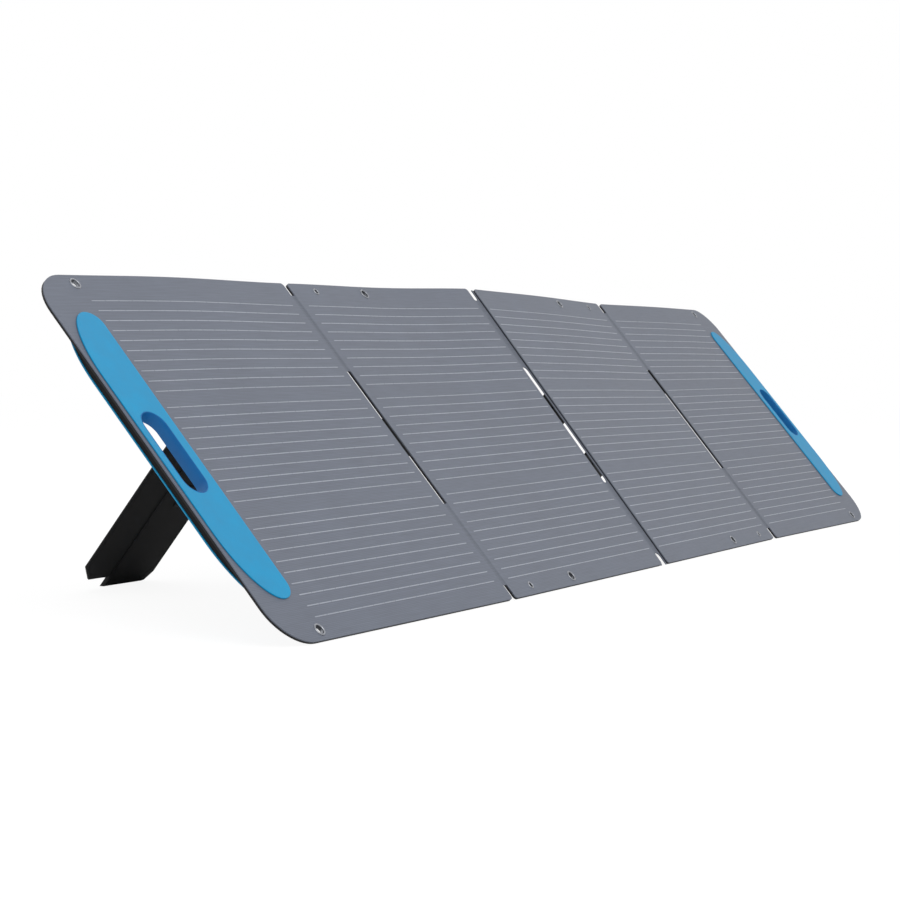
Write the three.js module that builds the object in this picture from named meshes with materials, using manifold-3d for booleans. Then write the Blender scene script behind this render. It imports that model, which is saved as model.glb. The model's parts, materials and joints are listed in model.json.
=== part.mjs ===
// Folding solar panel: four hinged sections standing on four folding legs, with a grip at each end.
// Millimetres, +Z up, the row runs along X and its cells face -Y and up.
import * as THREE from 'three';
import Module from 'manifold-3d';
import { mergeVertices } from 'three/addons/utils/BufferGeometryUtils.js';

// ---- driving dimensions -------------------------------------------------------------------------
const SECTIONS = 4;
const PITCH = 575;            // hinge line to hinge line
const HEIGHT = 590;           // section height along its own slope
const LEAN = 50;              // degrees between the floor and the sections
const FRONT_T = 1.2;          // front laminate sheet
const CELL_T = 0.6;           // cell sheet under it
const BACK_T = 2.1;           // stiff back cover
const SEAM = 0.3;             // bedding gap between stacked pieces
const OUTER_R = 60;           // large corners of the two end sections
const INNER_R = 6;            // small corners beside the hinge lines
const WEB_HALF = 8;           // fabric web each side of a fold axis
const RUN_GAP = 0.3;          // running gap between pieces that turn past each other
const CENTRE_HALF = 5;        // the centre web folds on two lines, this far from its middle
const WEB_T = 1.2;
const NOTCH_DEPTH = 24;       // open slit at the top and bottom of every hinge line
const SLOT_FROM_EDGE = 171;   // start of the long slot in the middle of every hinge line
const SLOT_HALF = 8.5;        // half width of the slot and slits in the centre web
const CELL_MARGIN = 36;       // cells to the top and bottom edges
const CELL_SIDE = 22;         // cells to a hinge line
const CELL_OUTER = 90;        // cells to an outer edge, beside the grip

const GRIP_H = 460;           // grip plates, along the slope
const GRIP_EDGE = 5;          // grip plate to the section's outer edge
const GRIP_W = 73;
const GRIP_OUTER_RX = 50;     // long curve at the outer side of each grip end, across and along
const GRIP_OUTER_RY = 105;
const GRIP_INNER_R = 22;
const PLATE_T = 2;
const CORE_T = 9;
const CORE_INSET = 1.5;
const FINGER_W = 46;
const FINGER_H = 130;
const FINGER_EDGE = 16;       // finger slot to the section's outer edge

const EYE_IN = 80;            // end sections' eyelets to the outer edge
const EYE_UP = 15;            // eyelet centres to the top and bottom edges
const EYE_NEAR = 72;          // small eyelets to the hinge line
const EYE_FAR = 215;          // large eyelets to the same hinge line
const EYE_HOLE_R = 6.5;
const EYE_RIM_R = 10.5;
const SMALL_HOLE_R = 3.6;
const SMALL_RIM_R = 7;
const EYE_WALL = 0.8;

const LEG_S = 490;            // leg hinge, measured up the slope from the bottom edge
const LEG_L = 480;            // leg length from its hinge to the floor
const LEG_T = 6;
const LEG_W = 110;            // main board
const WING_W = 75;            // narrower board beside the crease
const WING_SHORT = 22;        // the narrow board stops this much above the floor, along the leg
const LEG_CHAMFER = 26;
const LEG_LIFT = 2.5;         // stowed leg to the back cover
const LEG_TOP = 4;            // board starts this far from its hinge axis
const LEG_INSET = 17;         // leg to the hinge line at its right
const LEG_4_INSET = 167;      // the last leg clears the grip
const TAPE_W = 24;
const TAPE_T = 1.2;
const TAB_W = 30;
const TAB_L = 40;
const TAB_T = 1.4;
const TAB_AT = 300;           // strap tab on the leg, from its hinge
const ANCHOR_AT = 110;        // strap anchor, measured up the slope

const BOX_W = 110;
const BOX_H = 52;
const BOX_T = 14;
const LID_T = 3;
const BOX_X = 3 * PITCH + 60;
const BOX_U = 520;
const SOCKET_R = 7;
const SOCKET_HOLE_R = 4;
const SOCKET_L = 9;

// ---- derived ------------------------------------------------------------------------------------
const RAD = Math.PI / 180;
const THICK = FRONT_T + CELL_T + BACK_T + 2 * SEAM;
const BEHIND = -THICK - SEAM;
const LEG_N = -(THICK + LEG_LIFT + LEG_T / 2);
const FLOOR_DROP = THICK * Math.cos(LEAN * RAD);
const HINGE_Z = LEG_S * Math.sin(LEAN * RAD) + LEG_N * Math.cos(LEAN * RAD) + FLOOR_DROP;
const LEG_SLOPE = Math.asin(HINGE_Z / LEG_L) / RAD;
const LEG_OPEN = 180 - LEAN - LEG_SLOPE;

const wasm = await Module();
wasm.setup();

const material = (name, color, roughness, metalness = 0) => {
  const m = new THREE.MeshStandardMaterial({ color, roughness, metalness });
  m.name = name;
  return m;
};
const MAT = {
  laminate: material('laminate', 0x6d7280, 0.55),
  cells: material('cells', 0x2a2f3a, 0.35),
  cover: material('cover', 0x141416, 0.85),
  web: material('web', 0x74798a, 0.8),
  grip: material('grip', 0x009fd4, 0.45),
  core: material('core', 0x0d0d0e, 0.8),
  steel: material('steel', 0xb9bcc2, 0.3, 1),
  board: material('board', 0x0b0b0c, 0.85),
  plastic: material('plastic', 0x17181a, 0.5),
};

const toManifold = (geometry) => {
  const g = geometry.clone();
  g.deleteAttribute('normal');
  g.deleteAttribute('uv');
  const merged = mergeVertices(g, 1e-4);
  const mesh = new wasm.Mesh({
    numProp: 3,
    vertProperties: new Float32Array(merged.attributes.position.array),
    triVerts: new Uint32Array(merged.index.array),
  });
  return new wasm.Manifold(mesh);
};
const fromManifold = (solid) => {
  const mesh = solid.getMesh();
  const g = new THREE.BufferGeometry();
  g.setAttribute('position', new THREE.BufferAttribute(mesh.vertProperties, 3));
  g.setIndex(new THREE.BufferAttribute(mesh.triVerts, 1));
  const flat = g.toNonIndexed();
  flat.computeVertexNormals();
  return flat;
};
const subtract = (a, b) => fromManifold(toManifold(a).subtract(toManifold(b)));

const node = (parent, name, geometry, mat) => {
  const mesh = new THREE.Mesh(geometry, mat);
  mesh.name = name;
  parent.add(mesh);
  return mesh;
};

// Outline with its own radius at each corner, counter-clockwise from the bottom left.
const rounded = (x0, y0, x1, y1, bl, br, tr, tl) => {
  const s = new THREE.Shape();
  s.moveTo(x0 + bl, y0);
  s.lineTo(x1 - br, y0);
  s.absarc(x1 - br, y0 + br, br, -Math.PI / 2, 0, false);
  s.lineTo(x1, y1 - tr);
  s.absarc(x1 - tr, y1 - tr, tr, 0, Math.PI / 2, false);
  s.lineTo(x0 + tl, y1);
  s.absarc(x0 + tl, y1 - tl, tl, Math.PI / 2, Math.PI, false);
  s.lineTo(x0, y0 + bl);
  s.absarc(x0 + bl, y0 + bl, bl, Math.PI, 1.5 * Math.PI, false);
  return s;
};
const plainRect = (x0, y0, x1, y1) => {
  const s = new THREE.Shape();
  s.moveTo(x0, y0);
  s.lineTo(x1, y0);
  s.lineTo(x1, y1);
  s.lineTo(x0, y1);
  return s;
};
const roundHole = (x, y, r) => {
  const p = new THREE.Path();
  p.absarc(x, y, r, 0, 2 * Math.PI, true);
  return p;
};
const stadiumHole = (cx, cy, w, h) => {
  const r = w / 2;
  const p = new THREE.Path();
  p.moveTo(cx + r, cy - h / 2 + r);
  p.absarc(cx, cy - h / 2 + r, r, 0, -Math.PI, true);
  p.lineTo(cx - r, cy + h / 2 - r);
  p.absarc(cx, cy + h / 2 - r, r, Math.PI, 0, true);
  return p;
};
const slab = (shape, top, thickness, segments = 8) => {
  const g = new THREE.ExtrudeGeometry(shape, {
    depth: thickness, bevelEnabled: false, curveSegments: segments,
  });
  g.translate(0, 0, top - thickness);
  return g;
};

// ---- sections -----------------------------------------------------------------------------------
// In the row's own frame X runs along the row, Y up the slope and Z out of the cells.
const group = new THREE.Group();
group.name = 'folding_solar_panel';
const row = new THREE.Group();
row.name = 'row';
group.add(row);

const edgeGap = (hinge) => (hinge === 2 ? CENTRE_HALF : 0) + WEB_HALF + RUN_GAP;
const sectionStart = (i) => (i === 0 ? 0 : i * PITCH + edgeGap(i));
const sectionEnd = (i) => (i === SECTIONS - 1 ? SECTIONS * PITCH : (i + 1) * PITCH - edgeGap(i + 1));

const eyeletsOf = (i) => {
  const rows = [EYE_UP, HEIGHT - EYE_UP];
  const list = [];
  const add = (x, small) => rows.forEach((y) => list.push({ x, y, small }));
  if (i === 0) add(EYE_IN, false);
  if (i === 1) {
    add(PITCH + EYE_NEAR, true);
    add(PITCH + EYE_FAR, false);
  }
  if (i === 2) {
    add(3 * PITCH - EYE_NEAR, true);
    add(3 * PITCH - EYE_FAR, false);
  }
  if (i === 3) add(4 * PITCH - EYE_IN, false);
  return list;
};
const gripSide = (i) => (i === 0 ? -1 : i === SECTIONS - 1 ? 1 : 0);
const outerX = (side) => (side < 0 ? 0 : SECTIONS * PITCH);
const fingerX = (side) => outerX(side) - side * (FINGER_EDGE + FINGER_W / 2);
const fingerHole = (side) => stadiumHole(fingerX(side), HEIGHT / 2, FINGER_W, FINGER_H);

const sectionShape = (i) => {
  const left = i === 0 ? OUTER_R : INNER_R;
  const right = i === SECTIONS - 1 ? OUTER_R : INNER_R;
  const s = rounded(sectionStart(i), 0, sectionEnd(i), HEIGHT, left, right, right, left);
  for (const e of eyeletsOf(i)) {
    s.holes.push(roundHole(e.x, e.y, (e.small ? SMALL_HOLE_R : EYE_HOLE_R) + EYE_WALL + SEAM));
  }
  if (gripSide(i)) s.holes.push(fingerHole(gripSide(i)));
  return s;
};

const eyelet = (hole) => {
  const rim = hole === EYE_HOLE_R ? EYE_RIM_R : SMALL_RIM_R;
  const wall = hole + EYE_WALL;
  const low = BEHIND;
  const profile = [
    [hole, low - EYE_WALL], [rim, low - EYE_WALL], [rim, low], [wall, low],
    [wall, SEAM], [rim, SEAM], [rim, SEAM + EYE_WALL], [hole, SEAM + EYE_WALL], [hole, low - EYE_WALL],
  ].map(([r, z]) => new THREE.Vector2(r, z));
  const g = new THREE.LatheGeometry(profile, 18);
  g.rotateX(Math.PI / 2);
  return g;
};

// Grip outline: straight inner side, long curves towards the outer edge at both ends.
const gripShape = (side, inset) => {
  const s = new THREE.Shape();
  const inner = GRIP_EDGE + GRIP_W - inset;
  const outer = GRIP_EDGE + inset;
  const h = GRIP_H / 2 - inset;
  const rx = GRIP_OUTER_RX - inset;
  const ry = GRIP_OUTER_RY - inset;
  const r = GRIP_INNER_R - inset;
  const points = [];
  const arc = (cx, cy, ax, ay, from, to, steps) => {
    for (let k = 0; k <= steps; k += 1) {
      const t = (from + ((to - from) * k) / steps) * RAD;
      points.push([cx + ax * Math.cos(t), cy + ay * Math.sin(t)]);
    }
  };
  arc(inner - r, h - r, r, r, 0, 90, 7);
  arc(outer + rx, h - ry, -rx, ry, 90, 0, 12);
  arc(outer + rx, -h + ry, -rx, ry, 0, -90, 12);
  arc(inner - r, -h + r, r, r, -90, 0, 7);
  if (side > 0) points.reverse();
  points.forEach(([d, y], k) => {
    const x = outerX(side) - side * d;
    if (k === 0) s.moveTo(x, HEIGHT / 2 + y);
    else s.lineTo(x, HEIGHT / 2 + y);
  });
  s.holes.push(fingerHole(side));
  return s;
};

const grip = (parent, side, word) => {
  const g = new THREE.Group();
  g.name = `grip_${word}`;
  parent.add(g);
  node(g, `grip_${word}_front_plate`, slab(gripShape(side, 0), SEAM + PLATE_T, PLATE_T, 12), MAT.grip);
  node(g, `grip_${word}_core`, slab(gripShape(side, CORE_INSET), BEHIND, CORE_T, 12), MAT.core);
  const behind = BEHIND - CORE_T - SEAM;
  node(g, `grip_${word}_back_plate`, slab(gripShape(side, 0), behind, PLATE_T, 12), MAT.grip);
};

// ---- legs ---------------------------------------------------------------------------------------
const legRight = (i) => (i + 1) * PITCH - (i === SECTIONS - 1 ? LEG_4_INSET : LEG_INSET);
const legCrease = (i) => legRight(i) - LEG_W;

// A leg is drawn stowed, hanging from its hinge along the back cover, and then turned open.
const leg = (parent, i) => {
  const n = i + 1;
  const g = new THREE.Group();
  g.name = `leg_${n}`;
  g.position.set(0, LEG_S, LEG_N);
  g.rotation.x = LEG_OPEN * RAD;
  parent.add(g);
  const crease = legCrease(i);
  const end = -(LEG_L + LEG_T);
  const main = new THREE.Shape();
  main.moveTo(crease, end);
  main.lineTo(crease + LEG_W - LEG_CHAMFER, end);
  main.lineTo(crease + LEG_W, end + LEG_CHAMFER * 1.3);
  main.lineTo(crease + LEG_W, -LEG_TOP);
  main.lineTo(crease, -LEG_TOP);
  const board = slab(main, LEG_T / 2, LEG_T);
  const floor = new THREE.BoxGeometry(PITCH, 4 * LEG_L, 100);
  floor.translate(crease, 0, -50 - HINGE_Z);
  floor.rotateX(-(LEG_OPEN + LEAN) * RAD);
  node(g, `leg_${n}_board`, subtract(board, floor), MAT.board);
  const wing = new THREE.Shape();
  const wingEnd = -(LEG_L - WING_SHORT);
  wing.moveTo(crease - WING_W + LEG_CHAMFER, wingEnd);
  wing.lineTo(crease - SEAM, wingEnd);
  wing.lineTo(crease - SEAM, -LEG_TOP);
  wing.lineTo(crease - WING_W, -LEG_TOP);
  wing.lineTo(crease - WING_W, wingEnd + LEG_CHAMFER);
  node(g, `leg_${n}_wing`, slab(wing, LEG_T / 2 - 1, LEG_T - 2), MAT.board);
  const mid = crease + LEG_W / 2;
  const tab = plainRect(mid - TAB_W / 2, -TAB_AT - TAB_L / 2, mid + TAB_W / 2, -TAB_AT + TAB_L / 2);
  node(g, `leg_${n}_strap_tab`, slab(tab, LEG_T / 2 + SEAM + TAB_T, TAB_T), MAT.web);
};

// A flat sewn tape whose rolled lower edge is the bead that the leg turns on.
const BEAD_R = LEG_TOP - SEAM;
const hingeTape = () => {
  const s = new THREE.Shape();
  const top = LEG_S + LEG_TOP + TAPE_W;
  s.moveTo(top, BEHIND);
  s.lineTo(LEG_S - BEAD_R / 2, BEHIND);
  for (let deg = -60; deg <= 150; deg += 15) {
    s.lineTo(LEG_S - BEAD_R * Math.cos(deg * RAD), LEG_N - BEAD_R * Math.sin(deg * RAD));
  }
  s.lineTo(LEG_S + 2.3 * LEG_TOP, BEHIND - TAPE_T);
  s.lineTo(top, BEHIND - TAPE_T);
  return s;
};
// Turns a profile drawn as (up the slope, out of the cells) so that it runs along the row.
const alongRow = new THREE.Matrix4().makeBasis(
  new THREE.Vector3(0, 1, 0), new THREE.Vector3(0, 0, 1), new THREE.Vector3(1, 0, 0),
);

// Pieces sewn to a section's back cover that serve its leg.
const legFittings = (parent, i) => {
  const n = i + 1;
  const left = legCrease(i) - WING_W;
  const tape = new THREE.ExtrudeGeometry(hingeTape(), { depth: legRight(i) - left, bevelEnabled: false });
  tape.applyMatrix4(alongRow);
  tape.translate(left, 0, 0);
  node(parent, `leg_${n}_hinge_tape`, tape, MAT.board);
  const mid = legCrease(i) + LEG_W / 2;
  const pad = plainRect(mid - TAB_W / 2, ANCHOR_AT, mid + TAB_W / 2, ANCHOR_AT + TAB_L);
  node(parent, `leg_${n}_strap_anchor`, slab(pad, BEHIND, TAB_T), MAT.web);
};

// ---- build --------------------------------------------------------------------------------------
for (let i = 0; i < SECTIONS; i += 1) {
  const n = i + 1;
  const g = new THREE.Group();
  g.name = `section_${n}`;
  row.add(g);
  const outline = sectionShape(i);
  node(g, `section_${n}_front_sheet`, slab(outline, 0, FRONT_T), MAT.laminate);
  const left = i === 0 ? CELL_OUTER : i * PITCH + CELL_SIDE;
  const right = i === SECTIONS - 1 ? 4 * PITCH - CELL_OUTER : (i + 1) * PITCH - CELL_SIDE;
  const cells = plainRect(left, CELL_MARGIN, right, HEIGHT - CELL_MARGIN);
  node(g, `section_${n}_cell_sheet`, slab(cells, -FRONT_T - SEAM, CELL_T), MAT.cells);
  node(g, `section_${n}_back_cover`, slab(outline, BACK_T - THICK, BACK_T), MAT.cover);
  eyeletsOf(i).forEach((e, k) => {
    const ring = eyelet(e.small ? SMALL_HOLE_R : EYE_HOLE_R);
    ring.translate(e.x, e.y, 0);
    node(g, `section_${n}_eyelet_${k + 1}`, ring, MAT.steel);
  });
  if (gripSide(i)) grip(g, gripSide(i), gripSide(i) < 0 ? 'left' : 'right');
  legFittings(g, i);
  leg(g, i);
}

// Webs at the first and last hinge lines lie level with the front sheets.
const sideWeb = (parent, hinge, word, y0, y1) => {
  const x = hinge * PITCH;
  const web = plainRect(x - WEB_HALF, y0, x + WEB_HALF, y1);
  node(parent, `hinge_${hinge}_web_${word}`, slab(web, 0, WEB_T), MAT.web);
};
[1, 3].forEach((hinge) => {
  const owner = row.getObjectByName(hinge === 1 ? 'section_2' : 'section_3');
  sideWeb(owner, hinge, 'lower', NOTCH_DEPTH, SLOT_FROM_EDGE);
  sideWeb(owner, hinge, 'upper', HEIGHT - SLOT_FROM_EDGE, HEIGHT - NOTCH_DEPTH);
});

// The centre web folds on two lines, lies level with the back covers, and is one strip.
const centre = new THREE.Group();
centre.name = 'centre_web';
row.add(centre);
const cx = 2 * PITCH;
const half = CENTRE_HALF + WEB_HALF;
const strip = new THREE.Shape();
strip.moveTo(cx - half, 0);
strip.lineTo(cx - SLOT_HALF, 0);
strip.absarc(cx, NOTCH_DEPTH - SLOT_HALF, SLOT_HALF, Math.PI, 0, true);
strip.lineTo(cx + SLOT_HALF, 0);
strip.lineTo(cx + half, 0);
strip.lineTo(cx + half, HEIGHT);
strip.lineTo(cx + SLOT_HALF, HEIGHT);
strip.absarc(cx, HEIGHT - NOTCH_DEPTH + SLOT_HALF, SLOT_HALF, 0, -Math.PI, true);
strip.lineTo(cx - SLOT_HALF, HEIGHT);
strip.lineTo(cx - half, HEIGHT);
strip.holes.push(stadiumHole(cx, HEIGHT / 2, 2 * SLOT_HALF, HEIGHT - 2 * SLOT_FROM_EDGE));
node(centre, 'centre_web_strip', slab(strip, -THICK + WEB_T, WEB_T), MAT.web);

// Connection box on the last section's back, with its output socket facing down the slope.
const last = row.getObjectByName('section_4');
const boxGroup = new THREE.Group();
boxGroup.name = 'connection_box';
last.add(boxGroup);
const base = rounded(BOX_X, BOX_U, BOX_X + BOX_W, BOX_U + BOX_H, 5, 5, 5, 5);
node(boxGroup, 'connection_box_base', slab(base, BEHIND, BOX_T), MAT.plastic);
const lid = rounded(BOX_X + 2, BOX_U + 2, BOX_X + BOX_W - 2, BOX_U + BOX_H - 2, 4, 4, 4, 4);
node(boxGroup, 'connection_box_lid', slab(lid, BEHIND - BOX_T - SEAM, LID_T), MAT.plastic);
const cup = [
  [0, 0], [SOCKET_R, 0], [SOCKET_R, SOCKET_L], [SOCKET_HOLE_R, SOCKET_L], [SOCKET_HOLE_R, 2], [0, 2],
].map(([r, y]) => new THREE.Vector2(r, y));
const socket = new THREE.LatheGeometry(cup, 18);
socket.rotateX(Math.PI);
socket.translate(BOX_X + BOX_W / 2, BOX_U - SEAM, BEHIND - BOX_T / 2);
node(boxGroup, 'output_socket', socket, MAT.plastic);

// ---- placing ------------------------------------------------------------------------------------
row.rotation.x = LEAN * RAD;
group.updateMatrixWorld(true);
const bounds = new THREE.Box3().setFromObject(group, true);
const middle = bounds.getCenter(new THREE.Vector3());
row.position.set(-middle.x, -middle.y, -bounds.min.z);
group.updateMatrixWorld(true);

export default group;
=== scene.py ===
"""Folding solar panel: four cloth-covered sections, two grips and four fold-out legs."""

import json
import logging
from dataclasses import dataclass, field
from enum import Enum
from typing import Callable, Sequence

import bpy
import numpy as np
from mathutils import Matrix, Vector
from mathutils.geometry import delaunay_2d_cdt

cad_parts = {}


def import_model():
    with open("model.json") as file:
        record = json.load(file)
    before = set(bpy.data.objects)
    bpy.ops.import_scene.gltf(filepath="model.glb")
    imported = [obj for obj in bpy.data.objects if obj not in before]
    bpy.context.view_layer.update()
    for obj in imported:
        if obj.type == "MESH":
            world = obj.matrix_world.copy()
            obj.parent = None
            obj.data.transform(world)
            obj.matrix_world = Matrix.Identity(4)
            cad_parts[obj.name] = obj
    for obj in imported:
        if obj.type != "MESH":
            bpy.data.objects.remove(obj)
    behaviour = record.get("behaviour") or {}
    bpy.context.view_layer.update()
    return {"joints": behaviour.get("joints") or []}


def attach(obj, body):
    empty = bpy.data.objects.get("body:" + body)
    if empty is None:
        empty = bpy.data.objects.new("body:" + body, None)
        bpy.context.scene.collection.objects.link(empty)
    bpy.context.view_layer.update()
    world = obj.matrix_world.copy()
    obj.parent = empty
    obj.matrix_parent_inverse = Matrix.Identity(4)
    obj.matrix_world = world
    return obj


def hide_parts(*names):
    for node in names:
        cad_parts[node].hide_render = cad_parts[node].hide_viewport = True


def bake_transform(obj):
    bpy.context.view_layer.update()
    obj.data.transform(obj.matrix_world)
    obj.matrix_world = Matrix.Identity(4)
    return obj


LOG = logging.getLogger("solar_panel")
MM = 0.001
CLOTH_UV = "cloth"


class Face(Enum):
    """Which side of a section a run of stitches lies on."""

    FRONT = 1.0
    BACK = -1.0


# ---------------------------------------------------------------- colours and nodes

def srgb(hex_value: str) -> tuple[float, float, float, float]:
    """Turns an sRGB hex colour to linear.

    Args:
        hex_value: six hex digits.

    Returns:
        Linear red, green, blue and an alpha of 1.
    """
    part = np.array([int(hex_value[k:k + 2], 16) for k in (0, 2, 4)]) / 255.0
    linear = np.where(part <= 0.04045, part / 12.92, ((part + 0.055) / 1.055) ** 2.4)
    return (*map(float, linear), 1.0)


def add_node(tree: bpy.types.NodeTree, kind: str, settings: dict | None = None,
             links: dict | None = None) -> bpy.types.Node:
    """Adds one node with its settings and links.

    Args:
        tree: the material's node tree.
        kind: node type name.
        settings: input name or number, or node property, to its value.
        links: input name or number to the socket that feeds it.

    Returns:
        The new node.
    """
    node = tree.nodes.new(kind)
    for key, value in (settings or {}).items():
        if isinstance(key, int) or key in node.inputs:
            node.inputs[key].default_value = value
        else:
            setattr(node, key, value)
    for key, socket in (links or {}).items():
        tree.links.new(socket, node.inputs[key])
    return node


def blank_material(name: str) -> tuple[bpy.types.Material, bpy.types.NodeTree, bpy.types.Node, bpy.types.Node]:
    """Makes an empty node material.

    Args:
        name: the material's name.

    Returns:
        The material, its tree, its Principled shader and its output.
    """
    material = bpy.data.materials.new(name)
    material.use_nodes = True
    tree = material.node_tree
    tree.nodes.clear()
    shader = add_node(tree, "ShaderNodeBsdfPrincipled")
    output = add_node(tree, "ShaderNodeOutputMaterial", links={"Surface": shader.outputs[0]})
    return material, tree, shader, output


@dataclass(frozen=True)
class WovenCloth:
    """A woven finish: crossed threads, slow shade changes and scuffs, on the piece's cloth map."""

    name: str
    base: str
    worn: str
    thread_mm: float
    roughness: float
    bump: float
    sheen: float = 0.0
    coat: float = 0.0
    weft_share: float = 0.5

    def build(self) -> bpy.types.Material:
        """Builds the material: two wave textures multiply into a weave that drives bump and shade."""
        material, tree, shader, _ = blank_material(self.name)
        uv = add_node(tree, "ShaderNodeUVMap", {"uv_map": CLOTH_UV})
        scale = 0.314159 / (self.thread_mm * MM)
        warp = add_node(tree, "ShaderNodeTexWave",
                        {"bands_direction": "X", "Scale": scale, "Distortion": 0.6, "Detail": 2.0},
                        {"Vector": uv.outputs[0]})
        weft = add_node(tree, "ShaderNodeTexWave",
                        {"bands_direction": "Y", "Scale": scale, "Distortion": 0.6, "Detail": 2.0},
                        {"Vector": uv.outputs[0]})
        weave = add_node(tree, "ShaderNodeMix", {"data_type": "FLOAT", "Factor": self.weft_share},
                         {2: warp.outputs["Fac"], 3: weft.outputs["Fac"]})
        patch = add_node(tree, "ShaderNodeTexNoise", {"Scale": 9.0, "Detail": 6.0, "Roughness": 0.6},
                         {"Vector": uv.outputs[0]})
        stretch = add_node(tree, "ShaderNodeMapping", {"Scale": (18.0, 420.0, 1.0)}, {"Vector": uv.outputs[0]})
        streak = add_node(tree, "ShaderNodeTexNoise", {"Scale": 1.0, "Detail": 3.0},
                          {"Vector": stretch.outputs[0]})
        both = add_node(tree, "ShaderNodeMath", {"operation": "ADD"}, {0: patch.outputs[0], 1: streak.outputs[0]})
        shade = add_node(tree, "ShaderNodeMapRange", {"From Min": 0.65, "From Max": 1.35}, {"Value": both.outputs[0]})
        colour = add_node(tree, "ShaderNodeMix", {"data_type": "RGBA", 6: srgb(self.base), 7: srgb(self.worn)},
                          {0: shade.outputs[0]})
        depth = add_node(tree, "ShaderNodeMapRange", {"To Min": 0.86, "To Max": 1.08}, {"Value": weave.outputs[0]})
        shaded = add_node(tree, "ShaderNodeMix", {"data_type": "RGBA", "blend_type": "MULTIPLY", 0: 1.0},
                          {6: colour.outputs[2], 7: depth.outputs[0]})
        gloss = add_node(tree, "ShaderNodeMapRange",
                         {"To Min": self.roughness - 0.07, "To Max": min(1.0, self.roughness + 0.08)},
                         {"Value": patch.outputs[0]})
        relief = add_node(tree, "ShaderNodeBump", {"Strength": self.bump, "Distance": 0.0003},
                          {"Height": weave.outputs[0]})
        tree.links.new(shaded.outputs[2], shader.inputs["Base Color"])
        tree.links.new(gloss.outputs[0], shader.inputs["Roughness"])
        tree.links.new(relief.outputs[0], shader.inputs["Normal"])
        shader.inputs["Sheen Weight"].default_value = self.sheen
        shader.inputs["Coat Weight"].default_value = self.coat
        shader.inputs["Coat Roughness"].default_value = 0.35
        return material


@dataclass(frozen=True)
class GrainedSolid:
    """A moulded, foamed or metal finish: a fine grain and soft shade changes on object coordinates."""

    name: str
    base: str
    worn: str
    grain_mm: float
    roughness: float
    bump: float
    metallic: float = 0.0

    def build(self) -> bpy.types.Material:
        """Builds the material: fine noise gives the grain's bump, coarse noise the wear."""
        material, tree, shader, _ = blank_material(self.name)
        place = add_node(tree, "ShaderNodeTexCoord")
        grain = add_node(tree, "ShaderNodeTexNoise", {"Scale": 1.0 / (self.grain_mm * MM), "Detail": 3.0},
                         {"Vector": place.outputs["Object"]})
        wear = add_node(tree, "ShaderNodeTexNoise", {"Scale": 22.0, "Detail": 8.0, "Roughness": 0.65},
                        {"Vector": place.outputs["Object"]})
        spread = add_node(tree, "ShaderNodeMapRange", {"From Min": 0.35, "From Max": 0.7}, {"Value": wear.outputs[0]})
        colour = add_node(tree, "ShaderNodeMix", {"data_type": "RGBA", 6: srgb(self.base), 7: srgb(self.worn)},
                          {0: spread.outputs[0]})
        gloss = add_node(tree, "ShaderNodeMapRange",
                         {"To Min": max(0.05, self.roughness - 0.08), "To Max": self.roughness + 0.1},
                         {"Value": wear.outputs[0]})
        relief = add_node(tree, "ShaderNodeBump", {"Strength": self.bump, "Distance": 0.0002},
                          {"Height": grain.outputs[0]})
        tree.links.new(colour.outputs[2], shader.inputs["Base Color"])
        tree.links.new(gloss.outputs[0], shader.inputs["Roughness"])
        tree.links.new(relief.outputs[0], shader.inputs["Normal"])
        shader.inputs["Metallic"].default_value = self.metallic
        return material


# Thread and grain sizes are drawn coarser than the real 0.4 mm ones, so that they show.
LAMINATE = WovenCloth("laminated_polyester", "686E7C", "757C8B", 2.4, 0.55, 0.18, 0.0, 0.12, 0.72)
RIBBON = WovenCloth("tinned_ribbon", "A9AFBC", "BCC2CD", 3.0, 0.42, 0.05)
COVER = WovenCloth("black_oxford_cloth", "0F0F11", "1B1B1E", 1.8, 0.82, 0.6, 0.15)
BOARD_CLOTH = WovenCloth("board_cloth", "0B0B0C", "161618", 1.6, 0.8, 0.5, 0.12)
WEB_CLOTH = WovenCloth("grey_web_cloth", "666C79", "787E8B", 1.8, 0.75, 0.5, 0.1)
WEBBING = WovenCloth("black_webbing", "131315", "202023", 2.6, 0.78, 0.9, 0.2, 0.0, 0.8)
THREAD = GrainedSolid("black_thread", "1A1A1C", "2C2C30", 0.5, 0.7, 0.4)
GREY_THREAD = GrainedSolid("grey_thread", "565B66", "6B707B", 0.5, 0.7, 0.4)
GRIP_BLUE = GrainedSolid("moulded_blue_tpe", "0099CF", "00A4DA", 0.9, 0.5, 0.35)
# The darker copy of the moulded blue below is painted shade for the recessed wall of the finger slot.
SLOT_SHADE_BLUE = GrainedSolid("slot_wall_shaded_tpe", "006CB2", "0079BE", 0.9, 0.5, 0.35)
FOAM = GrainedSolid("black_eva_foam", "09090A", "141416", 1.4, 0.85, 0.6)
STEEL = GrainedSolid("nickel_plated_steel", "9C9FA5", "85888E", 0.7, 0.3, 0.15, 1.0)
PLASTIC = GrainedSolid("black_abs", "141517", "1E1F22", 0.8, 0.48, 0.4)
CELLS = GrainedSolid("cell_film", "252A36", "30364A", 1.0, 0.35, 0.1)


# ---------------------------------------------------------------- the row's frame

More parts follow.
